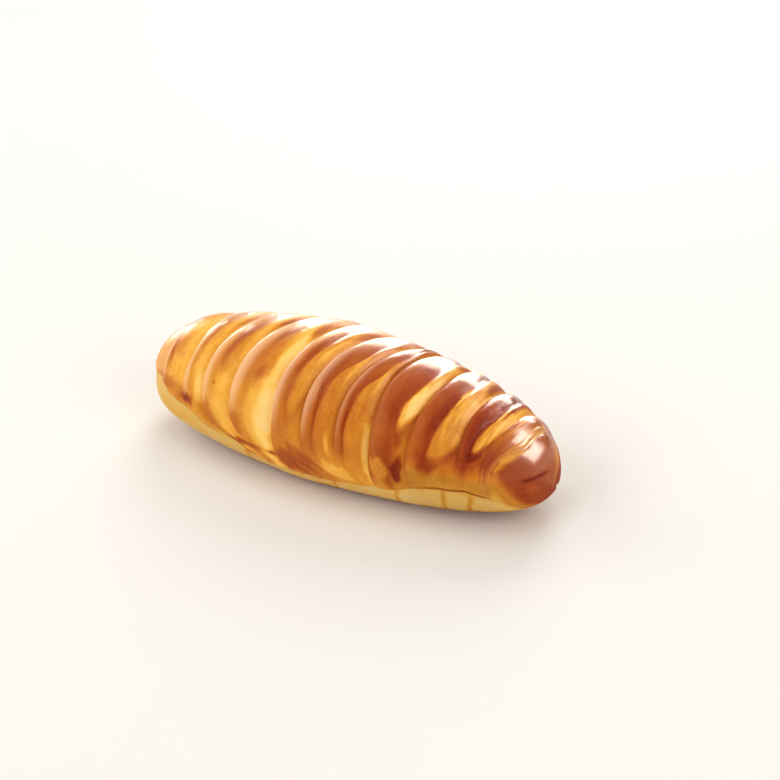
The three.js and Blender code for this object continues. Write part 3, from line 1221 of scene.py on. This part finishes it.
    def _paint(self, piece: bpy.types.Object, skin: Skin) -> None:
        """Writes the browning, the painted sheen, the gloss and the painted shade of each vertex as
        attributes.

        Args:
            piece: The shaped loaf.
            skin: Where each vertex lies.
        """
        bake, wash = Bake(self.shape), Wash(self.shape)
        ground = bake.ground(skin)
        self._store(piece, "browning", bake.browning(skin, ground))
        # Painted sheen: a pale veil on the lips that stands in for their reflection of the bright surround
        self._store(piece, "painted_sheen", wash.painted_sheen(skin, ground))
        self._store(piece, "gloss", wash.gloss(skin, ground))
        # Painted shade on the base, the low right side and the cap's foot, which also dulls the tear
        self._store(piece, "base", bake.painted_shade(skin, ground))

    @staticmethod
    def _store(piece: bpy.types.Object, name: str, values: np.ndarray) -> None:
        """Writes one number for each vertex as a named attribute."""
        attribute = piece.data.attributes.new(name, "FLOAT", "POINT")
        attribute.data.foreach_set("value", np.asarray(values, np.float32))


class NodeBench:
    """Adds and joins the nodes of one shader tree."""

    # Places of the share, the two colours and the result among a colour mix's sockets
    MIX_INPUTS = (0, 6, 7)
    MIX_RESULT = 2

    def __init__(self, tree: bpy.types.NodeTree) -> None:
        """Keeps the tree."""
        self.tree = tree

    def add(self, kind: str, inputs: dict[str, object] | None = None, **settings: object) -> bpy.types.Node:
        """Adds a node.

        Args:
            kind: The node's type.
            inputs: Socket names with a value, or with another node's output to link.
            settings: The node's own properties.

        Returns:
            The new node.
        """
        node = self.tree.nodes.new(kind)
        for name, value in settings.items():
            setattr(node, name, value)
        for name, value in (inputs or {}).items():
            self.join(value, node.inputs[name])
        return node

    def join(self, value: object, socket: bpy.types.NodeSocket) -> None:
        """Links an output to a socket, or sets the socket's value.

        Args:
            value: A value or an output.
            socket: The socket that takes it.
        """
        if isinstance(value, bpy.types.NodeSocket):
            self.tree.links.new(value, socket)
        else:
            socket.default_value = value

    def attribute(self, name: str) -> bpy.types.NodeSocket:
        """Reads one of the piece's painted numbers."""
        return self.add("ShaderNodeAttribute", attribute_name=name).outputs["Fac"]

    def noise(
        self, place: bpy.types.NodeSocket, scale: float, detail: float = 4.0, roughness: float = 0.6
    ) -> bpy.types.NodeSocket:
        """Uneven noise from 0 to 1 at a place, with finer layers in it."""
        inputs = {"Vector": place, "Scale": scale, "Detail": detail, "Roughness": roughness}
        return self.add("ShaderNodeTexNoise", inputs).outputs["Fac"]

    def math(self, operation: str, first: object, second: object) -> bpy.types.NodeSocket:
        """One step of arithmetic.

        Args:
            operation: The step's name.
            first: A number or an output.
            second: A number or an output.

        Returns:
            The result.
        """
        node = self.add("ShaderNodeMath", operation=operation)
        self.join(first, node.inputs[0])
        self.join(second, node.inputs[1])
        return node.outputs[0]

    def mix(self, share: object, first: object, second: object, blend: str = "MIX") -> bpy.types.NodeSocket:
        """Lays a second colour over a first one.

        Args:
            share: How much of the second one shows.
            first: The colour below.
            second: The colour above.
            blend: How they are blended.

        Returns:
            The mixed colour.
        """
        node = self.add("ShaderNodeMix", data_type="RGBA", blend_type=blend)
        for index, value in zip(self.MIX_INPUTS, (share, first, second)):
            self.join(value, node.inputs[index])
        return node.outputs[self.MIX_RESULT]


@dataclass(frozen=True)
class CrustFinish:
    """The crust: egg-washed dough from cream through gold to red-brown, glossy where it was washed, with
    painted sheen on the lips and painted shade low down.
    """

    tones: tuple[tuple[float, tuple[int, int, int]], ...] = (
        (0.00, (250, 212, 134)),
        (0.15, (252, 202, 104)),
        (0.30, (242, 176, 68)),
        (0.45, (215, 138, 42)),
        (0.60, (191, 104, 30)),
        (0.75, (166, 76, 25)),
        (0.90, (142, 49, 17)),
        (1.00, (108, 30, 11)),
    )
    # Pale pink of the painted sheen, a painted reflection
    painted_sheen: tuple[int, int, int] = (249, 198, 154)
    painted_sheen_share: float = 0.58
    # Tint of the painted shade
    painted_shade_tint: tuple[float, float, float] = (0.66, 0.62, 0.58)
    blotch_scale: float = 60.0
    blotch_share: float = 0.11
    fleck_scale: float = 420.0
    fleck_share: float = 0.16
    grain_scale: float = 1300.0
    grain_strength: float = 0.30
    grain_height: float = 0.0003
    roughness: float = 0.46
    bare_roughness: float = 0.62
    coat: float = 0.8
    coat_roughness: float = 0.24
    coat_index: float = 2.2
    specular: float = 0.2
    index: float = 1.25

    def make(self) -> bpy.types.Material:
        """Makes the material.

        Returns:
            The crust material.
        """
        material = bpy.data.materials.new("crust")
        material.use_nodes = True
        bench = NodeBench(material.node_tree)
        shader = material.node_tree.nodes["Principled BSDF"]
        place = bench.add("ShaderNodeTexCoord").outputs["Object"]
        gloss = bench.attribute("gloss")
        bench.join(self._colour(bench, place), shader.inputs["Base Color"])
        rough = bench.add("ShaderNodeMapRange", {"Value": gloss})
        rough.inputs["To Min"].default_value = self.bare_roughness
        rough.inputs["To Max"].default_value = self.roughness
        bench.join(rough.outputs["Result"], shader.inputs["Roughness"])
        bench.join(bench.math("MULTIPLY", gloss, self.coat), shader.inputs["Coat Weight"])
        shader.inputs["Coat Roughness"].default_value = self.coat_roughness
        shader.inputs["Coat IOR"].default_value = self.coat_index
        shader.inputs["IOR"].default_value = self.index
        shader.inputs["Specular IOR Level"].default_value = self.specular
        grain = bench.noise(place, self.grain_scale)
        inputs = {"Height": grain, "Strength": self.grain_strength, "Distance": self.grain_height}
        bench.join(bench.add("ShaderNodeBump", inputs).outputs["Normal"], shader.inputs["Normal"])
        return material

    def _colour(self, bench: NodeBench, place: bpy.types.NodeSocket) -> bpy.types.NodeSocket:
        """Turns the painted browning, with blotches and flecks, into the crust's colour, and lays the painted
        sheen and the painted shade over it.

        Args:
            bench: The material's nodes.
            place: Coordinates of the noise.

        Returns:
            The colour.
        """
        toned = bench.attribute("browning")
        for scale, share in ((self.blotch_scale, self.blotch_share), (self.fleck_scale, self.fleck_share)):
            centred = bench.math("SUBTRACT", bench.noise(place, scale), 0.5)
            toned = bench.math("ADD", toned, bench.math("MULTIPLY", centred, share))
        ramp = bench.add("ShaderNodeValToRGB", {"Fac": toned})
        self._fill(ramp.color_ramp)
        # Painted sheen: a pale pink veil over the lips, standing in for their reflection
        painted_sheen = bench.math("MULTIPLY", bench.attribute("painted_sheen"), self.painted_sheen_share)
        pale = bench.mix(painted_sheen, ramp.outputs["Color"], linear(*self.painted_sheen))
        # Painted shade: darkens the base, the low right side and the cap's foot as if in shade, and dulls the
        # tear
        return bench.mix(bench.attribute("base"), pale, (*self.painted_shade_tint, 1.0), "MULTIPLY")

    def _fill(self, ramp: bpy.types.ColorRamp) -> None:
        """Sets the ramp's stops to the crust's tones.

        Args:
            ramp: The ramp to fill.
        """
        while len(ramp.elements) < len(self.tones):
            ramp.elements.new(0.5)
        for stop, (place, colour) in zip(ramp.elements, self.tones):
            stop.position = place
            stop.color = linear(*colour)


class Glow(Enum):
    """What a studio light does, with its colour: it only fills the scene, or only shows in the glaze."""

    FILL = (1.0, 1.0, 1.0)
    SHEEN = (1.0, 0.90, 0.79)


@dataclass(frozen=True)
class SoftBox:
    """One soft studio light: where it stands, its side, its power and what it does."""

    name: str
    place: tuple[float, float, float]
    side: float
    power: float
    glow: Glow

    def build(self, target: Vector) -> None:
        """Adds the light, turned to the target.

        Args:
            target: The point that it faces.
        """
        bpy.ops.object.light_add(type="AREA", location=self.place)
        light = bpy.context.object
        light.name = self.name
        light.data.size = self.side
        light.data.energy = self.power
        light.data.color = self.glow.value
        light.visible_camera = False
        light.visible_glossy = self.glow is Glow.SHEEN
        light.visible_diffuse = self.glow is Glow.FILL
        light.rotation_euler = (target - light.location).to_track_quat("-Z", "Y").to_euler()


@dataclass
class Studio:
    """The plain studio: a pale floor, soft lights and the camera.

    Attributes:
        camera_place: Where the camera stands.
        camera_view: Direction that it looks along.
        camera_roll: How far it is turned about that direction, in degrees.
        focal: Focal length in pixels of the image.
        sensor: Width of the camera's sensor in millimetres.
        target: The point that the lights face.
        sky: Brightness of the even surround where it lights the loaf.
        backdrop: Its brightness behind the floor.
    """

    camera_place: Vector = Vector((0.8470, -1.1005, 0.9058))
    camera_view: Vector = Vector((-0.5065, 0.6846, -0.5241))
    camera_roll: float = -5.24
    focal: float = 2557.0
    sensor: float = 36.0
    clip_start: float = 0.01
    floor_side: float = 2.4
    floor_colour: tuple[int, int, int] = (226, 222, 215)
    floor_roughness: float = 0.8
    target: Vector = Vector((0.0, 0.0, 0.04))
    boxes: tuple[SoftBox, ...] = (
        SoftBox("back_sheen", (-0.55, 1.30, 0.50), 0.95, 28.0, Glow.SHEEN),
        SoftBox("middle_sheen", (0.14, 1.33, 0.60), 0.45, 5.5, Glow.SHEEN),
        SoftBox("right_sheen", (0.97, 0.40, 0.64), 0.85, 18.0, Glow.SHEEN),
        SoftBox("crown_sheen", (0.45, 0.66, 0.97), 0.5, 3.5, Glow.SHEEN),
        SoftBox("left_sheen", (-1.70, 0.85, 0.42), 0.8, 14.0, Glow.SHEEN),
        SoftBox("high_fill", (-0.30, 1.20, 1.10), 0.9, 11.0, Glow.FILL),
        SoftBox("right_fill", (1.40, -0.40, 0.80), 1.2, 13.0, Glow.FILL),
        SoftBox("left_fill", (-1.60, -0.20, 0.90), 1.4, 16.0, Glow.FILL),
        SoftBox("front_fill", (-0.50, -1.60, 1.30), 1.6, 21.0, Glow.FILL),
        SoftBox("top_fill", (0.10, 0.10, 2.00), 1.4, 10.0, Glow.FILL),
    )
    sky: float = 0.16
    backdrop: float = 0.82

    def build(self) -> None:
        """Builds the whole studio."""
        self._floor()
        self._lights()
        self._surround()
        self._camera()

    def _floor(self) -> None:
        """Adds the pale floor under the loaf."""
        bpy.ops.object.select_all(action="DESELECT")
        bpy.ops.mesh.primitive_plane_add(size=self.floor_side)
        floor = bpy.context.object
        floor.name = "floor"
        material = bpy.data.materials.new("pale_floor")
        material.use_nodes = True
        shader = material.node_tree.nodes["Principled BSDF"]
        shader.inputs["Base Color"].default_value = linear(*self.floor_colour)
        shader.inputs["Roughness"].default_value = self.floor_roughness
        floor.data.materials.append(material)

    def _lights(self) -> None:
        """Adds the soft boxes."""
        for box in self.boxes:
            box.build(self.target)

    def _surround(self) -> None:
        """Adds an even white surround, dim on the loaf and pale behind the floor."""
        world = bpy.data.worlds.new("studio")
        world.use_nodes = True
        surround = world.node_tree.nodes["Background"]
        surround.inputs["Color"].default_value = (1.0, 1.0, 1.0, 1.0)
        bench = NodeBench(world.node_tree)
        seen = bench.add("ShaderNodeLightPath").outputs["Is Camera Ray"]
        extra = bench.math("MULTIPLY", seen, self.backdrop - self.sky)
        bench.join(bench.math("ADD", extra, self.sky), surround.inputs["Strength"])
        world.cycles_visibility.glossy = False
        bpy.context.scene.world = world
        bpy.context.scene.view_settings.view_transform = "Standard"

    def _camera(self) -> None:
        """Adds the camera at the viewing angle of the picture."""
        bpy.ops.object.camera_add(location=self.camera_place)
        camera = bpy.context.object
        camera.name = "camera"
        camera.data.sensor_width = self.sensor
        camera.data.lens = self.sensor * self.focal / IMAGE_SIDE
        camera.data.clip_start = self.clip_start
        turn = self.camera_view.to_track_quat("-Z", "Y").to_matrix()
        turn = turn @ Matrix.Rotation(math.radians(self.camera_roll), 3, "Z")
        camera.rotation_euler = turn.to_euler()
        bpy.context.scene.camera = camera


def main() -> None:
    """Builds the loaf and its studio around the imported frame."""
    logging.basicConfig(level=logging.INFO, format="%(name)s: %(message)s")
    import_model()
    low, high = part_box(NODE)
    size = high - low
    loaf = Loaf(LoafShape(size.x, size.y, size.z)).build()
    loaf.data.materials.append(CrustFinish().make())
    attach(loaf, BODY)
    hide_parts(NODE)
    LOG.info("loaf: %d vertices", len(loaf.data.vertices))
    Studio().build()


if __name__ == "__main__":
    main()
